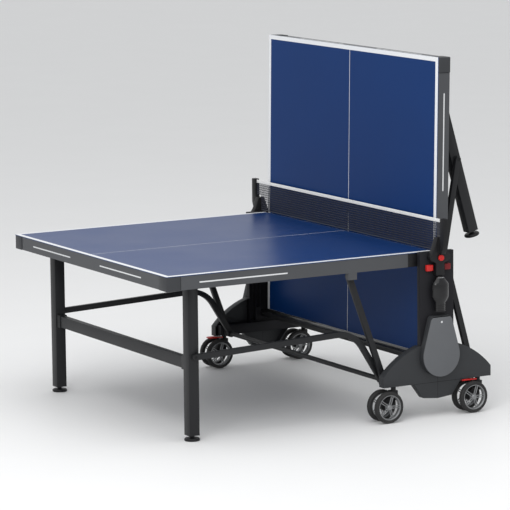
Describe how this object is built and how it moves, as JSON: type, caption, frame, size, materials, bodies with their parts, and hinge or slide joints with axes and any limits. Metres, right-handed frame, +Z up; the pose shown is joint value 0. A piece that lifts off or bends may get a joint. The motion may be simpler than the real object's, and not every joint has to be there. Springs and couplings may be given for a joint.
{
  "type": "folding table tennis table",
  "caption": "Folding table tennis table on a wheeled chassis, one half down for play and the other folded upright, with net, bat boxes and ball holders.",
  "frame": {"origin": "centre of the bounding box on the floor", "axes": "+X along the table from the half that is down towards the upright half, +Y across it along the net, +Z up"},
  "size_m": [1.685, 1.748, 1.6378],
  "materials": {
    "apron": "graphite grey powder coat",
    "board": "blue lacquered board with a semi-gloss surface",
    "cap": "dark grey moulded plastic",
    "foot": "black rubber-faced levelling foot",
    "frame": "dark grey powder coat",
    "lid": "grey moulded plastic, lightly grained",
    "net": "dark woven net with a white top tape",
    "panel": "graphite grey powder coat",
    "plastic": "black moulded plastic",
    "pod": "dark grey moulded plastic",
    "red": "red moulded plastic",
    "smoke": "glossy near-black plastic",
    "steel": "plain steel bar",
    "tyre": "black rubber tyre"
  },
  "bodies": {
    "chassis": {"upright_near": "panel", "upright_far": "panel", "pod_near": "pod", "pod_far": "pod", "cross_tube_a": "frame", "cross_tube_b": "frame", "middle_bar": "frame", "net_post_near": "plastic", "net_post_far": "plastic", "net": "net", "ball_tube_near": "smoke", "ball_tube_far": "smoke", "bat_box_near": "pod", "bat_box_far": "pod"},
    "carriage_a": {"carriage_a": "steel"},
    "top_a": {"board_a": "board", "apron_a": "apron", "corner_cap_near_a": "cap", "corner_cap_far_a": "cap", "hinge_block_near_a": "plastic", "hinge_block_far_a": "plastic"},
    "leg_a": {"leg_frame_a": "frame"},
    "struts_a": {"strut_near_a": "frame", "strut_far_a": "frame"},
    "braces_a": {"brace_near_a": "frame", "brace_far_a": "frame"},
    "foot_near_a": {"foot_near_a": "foot"},
    "foot_far_a": {"foot_far_a": "foot"},
    "carriage_b": {"carriage_b": "steel"},
    "top_b": {"board_b": "board", "apron_b": "apron", "corner_cap_near_b": "cap", "corner_cap_far_b": "cap", "hinge_block_near_b": "plastic", "hinge_block_far_b": "plastic"},
    "leg_b": {"leg_frame_b": "frame"},
    "struts_b": {"strut_near_b": "frame", "strut_far_b": "frame"},
    "braces_b": {"brace_near_b": "frame", "brace_far_b": "frame"},
    "foot_near_b": {"foot_near_b": "foot"},
    "foot_far_b": {"foot_far_b": "foot"},
    "net_knob_near": {"net_knob_near": "red"},
    "bat_lid_near": {"bat_lid_near": "lid"},
    "release_button_near_a": {"release_button_near_a": "red"},
    "caster_fork_near_a": {"caster_fork_near_a": "plastic"},
    "caster_wheels_near_a": {"caster_wheels_near_a": "tyre"},
    "release_button_near_b": {"release_button_near_b": "red"},
    "caster_fork_near_b": {"caster_fork_near_b": "plastic"},
    "caster_wheels_near_b": {"caster_wheels_near_b": "tyre"},
    "brake_pedal_near_b": {"brake_pedal_near_b": "red"},
    "net_knob_far": {"net_knob_far": "red"},
    "bat_lid_far": {"bat_lid_far": "lid"},
    "release_button_far_a": {"release_button_far_a": "red"},
    "caster_fork_far_a": {"caster_fork_far_a": "plastic"},
    "caster_wheels_far_a": {"caster_wheels_far_a": "tyre"},
    "brake_pedal_far_a": {"brake_pedal_far_a": "red"},
    "release_button_far_b": {"release_button_far_b": "red"},
    "caster_fork_far_b": {"caster_fork_far_b": "plastic"},
    "caster_wheels_far_b": {"caster_wheels_far_b": "tyre"}
  },
  "joints": [
    {"name": "carriage_slide_a", "type": "slide", "parent": "chassis", "child": "carriage_a", "axis": [0, 0, -1], "range_m": [0, 0.42193]},
    {"name": "fold_a", "type": "hinge", "parent": "carriage_a", "child": "top_a", "pos_m": [0.48793, 0, 0.729], "axis": [0, 1, 0], "range_deg": [0, 89]},
    {"name": "leg_hinge_a", "type": "hinge", "parent": "top_a", "child": "leg_a", "pos_m": [-0.67245, 0, 0.7], "axis": [0, 1, 0], "range_deg": [-73, 0]},
    {"name": "strut_pivot_a", "type": "hinge", "parent": "chassis", "child": "struts_a", "pos_m": [0.28755, 0, 0.18], "axis": [0, 1, 0], "range_deg": [0, 35.56]},
    {"name": "brace_pivot_a", "type": "hinge", "parent": "chassis", "child": "braces_a", "pos_m": [0.28755, 0, 0.18], "axis": [0, 1, 0], "range_deg": [0, 81.94]},
    {"name": "foot_screw_near_a", "type": "slide", "parent": "leg_a", "child": "foot_near_a", "axis": [0, 0, -1], "range_m": [0, 0.012]},
    {"name": "foot_screw_far_a", "type": "slide", "parent": "leg_a", "child": "foot_far_a", "axis": [0, 0, -1], "range_m": [0, 0.012]},
    {"name": "carriage_slide_b", "type": "slide", "parent": "chassis", "child": "carriage_b", "axis": [0, 0, 1], "range_m": [0, 0.42193]},
    {"name": "fold_b", "type": "hinge", "parent": "carriage_b", "child": "top_b", "pos_m": [0.56717, 0, 0.30707], "axis": [0, 1, 0], "range_deg": [0, 89]},
    {"name": "leg_hinge_b", "type": "hinge", "parent": "top_b", "child": "leg_b", "pos_m": [0.61641, 0, 1.46677], "axis": [0, 1, 0], "range_deg": [-73, 0]},
    {"name": "strut_pivot_b", "type": "hinge", "parent": "chassis", "child": "struts_b", "pos_m": [0.76755, 0, 0.18], "axis": [0, 1, 0], "range_deg": [0, 35.56]},
    {"name": "brace_pivot_b", "type": "hinge", "parent": "chassis", "child": "braces_b", "pos_m": [0.76755, 0, 0.18], "axis": [0, 1, 0], "range_deg": [0, 81.94]},
    {"name": "foot_screw_near_b", "type": "slide", "parent": "leg_b", "child": "foot_near_b", "axis": [0.2756, 0, -0.9613], "range_m": [0, 0.012]},
    {"name": "foot_screw_far_b", "type": "slide", "parent": "leg_b", "child": "foot_far_b", "axis": [0.2756, 0, -0.9613], "range_m": [0, 0.012]},
    {"name": "net_knob_turn_near", "type": "hinge", "parent": "chassis", "child": "net_knob_near", "pos_m": [0.52755, -0.8301, 0.736], "axis": [0, -1, 0], "range_deg": [-180, 180]},
    {"name": "bat_lid_hinge_near", "type": "hinge", "parent": "chassis", "child": "bat_lid_near", "pos_m": [0.52755, -0.8403, 0.19], "axis": [1, 0, 0], "range_deg": [0, 60]},
    {"name": "release_press_near_a", "type": "slide", "parent": "chassis", "child": "release_button_near_a", "axis": [1, 0, 0], "range_m": [0, 0.006], "stiffness_N_per_m": 600},
    {"name": "caster_swivel_near_a", "type": "hinge", "parent": "chassis", "child": "caster_fork_near_a", "pos_m": [0.29905, -0.788, 0], "axis": [0, 0, 1], "continuous": true},
    {"name": "caster_roll_near_a", "type": "hinge", "parent": "caster_fork_near_a", "child": "caster_wheels_near_a", "pos_m": [0.25505, -0.788, 0.073], "axis": [0, 1, 0], "continuous": true},
    {"name": "release_press_near_b", "type": "slide", "parent": "chassis", "child": "release_button_near_b", "axis": [-1, 0, 0], "range_m": [0, 0.006], "stiffness_N_per_m": 600},
    {"name": "caster_swivel_near_b", "type": "hinge", "parent": "chassis", "child": "caster_fork_near_b", "pos_m": [0.75605, -0.788, 0], "axis": [0, 0, 1], "continuous": true},
    {"name": "caster_roll_near_b", "type": "hinge", "parent": "caster_fork_near_b", "child": "caster_wheels_near_b", "pos_m": [0.71205, -0.788, 0.073], "axis": [0, 1, 0], "continuous": true},
    {"name": "brake_press_near_b", "type": "hinge", "parent": "caster_fork_near_b", "child": "brake_pedal_near_b", "pos_m": [0.73955, -0.788, 0.15], "axis": [0, -1, 0], "range_deg": [0, 12]},
    {"name": "net_knob_turn_far", "type": "hinge", "parent": "chassis", "child": "net_knob_far", "pos_m": [0.52755, 0.8301, 0.736], "axis": [0, 1, 0], "range_deg": [-180, 180]},
    {"name": "bat_lid_hinge_far", "type": "hinge", "parent": "chassis", "child": "bat_lid_far", "pos_m": [0.52755, 0.8403, 0.19], "axis": [-1, 0, 0], "range_deg": [0, 60]},
    {"name": "release_press_far_a", "type": "slide", "parent": "chassis", "child": "release_button_far_a", "axis": [1, 0, 0], "range_m": [0, 0.006], "stiffness_N_per_m": 600},
    {"name": "caster_swivel_far_a", "type": "hinge", "parent": "chassis", "child": "caster_fork_far_a", "pos_m": [0.29905, 0.788, 0], "axis": [0, 0, 1], "continuous": true},
    {"name": "caster_roll_far_a", "type": "hinge", "parent": "caster_fork_far_a", "child": "caster_wheels_far_a", "pos_m": [0.25505, 0.788, 0.073], "axis": [0, 1, 0], "continuous": true},
    {"name": "brake_press_far_a", "type": "hinge", "parent": "caster_fork_far_a", "child": "brake_pedal_far_a", "pos_m": [0.28255, 0.788, 0.15], "axis": [0, -1, 0], "range_deg": [0, 12]},
    {"name": "release_press_far_b", "type": "slide", "parent": "chassis", "child": "release_button_far_b", "axis": [-1, 0, 0], "range_m": [0, 0.006], "stiffness_N_per_m": 600},
    {"name": "caster_swivel_far_b", "type": "hinge", "parent": "chassis", "child": "caster_fork_far_b", "pos_m": [0.75605, 0.788, 0], "axis": [0, 0, 1], "continuous": true},
    {"name": "caster_roll_far_b", "type": "hinge", "parent": "caster_fork_far_b", "child": "caster_wheels_far_b", "pos_m": [0.71205, 0.788, 0.073], "axis": [0, 1, 0], "continuous": true}
  ],
  "couplings": [
    {"joint": "carriage_slide_a", "follows": "fold_a", "m_per_rad": 0.27163},
    {"joint": "leg_hinge_a", "follows": "fold_a", "ratio": -0.82022},
    {"joint": "strut_pivot_a", "follows": "fold_a", "ratio": 0.39959},
    {"joint": "brace_pivot_a", "follows": "fold_a", "ratio": 0.9207},
    {"joint": "carriage_slide_b", "follows": "fold_b", "m_per_rad": 0.27163},
    {"joint": "leg_hinge_b", "follows": "fold_b", "ratio": -0.82022},
    {"joint": "strut_pivot_b", "follows": "fold_b", "ratio": 0.39959},
    {"joint": "brace_pivot_b", "follows": "fold_b", "ratio": 0.9207}
  ]
}
